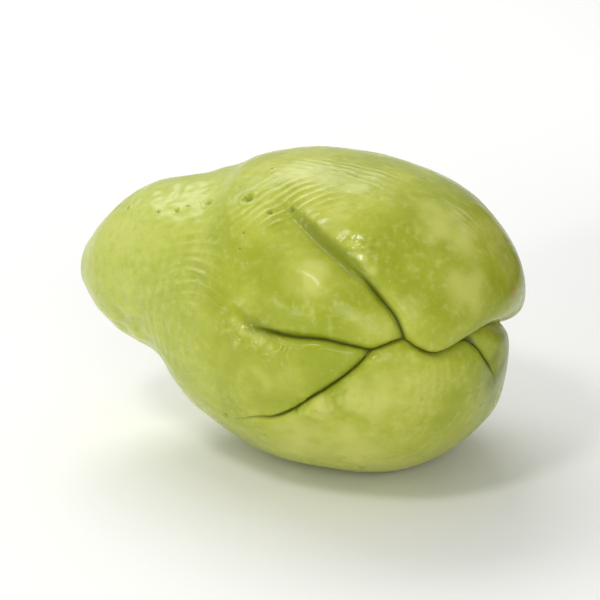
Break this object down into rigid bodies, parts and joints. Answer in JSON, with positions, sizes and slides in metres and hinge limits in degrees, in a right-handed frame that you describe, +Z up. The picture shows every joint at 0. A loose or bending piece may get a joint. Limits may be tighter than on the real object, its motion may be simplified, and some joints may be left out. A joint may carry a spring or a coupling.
{
  "type": "chayote squash",
  "caption": "Whole chayote squash lying on its side: pear-shaped fruit, puckered into folded lobes round a mouth at the blossom end.",
  "frame": {"origin": "on the resting surface, under the middle of the fruit's outline seen from above", "axes": "+X along the fruit towards the blossom end with the folded mouth, +Z up"},
  "size_m": [0.1198, 0.0882, 0.0823],
  "materials": {
    "skin": "satin"
  },
  "bodies": {
    "root": {"fruit": "skin"}
  },
  "joints": []
}
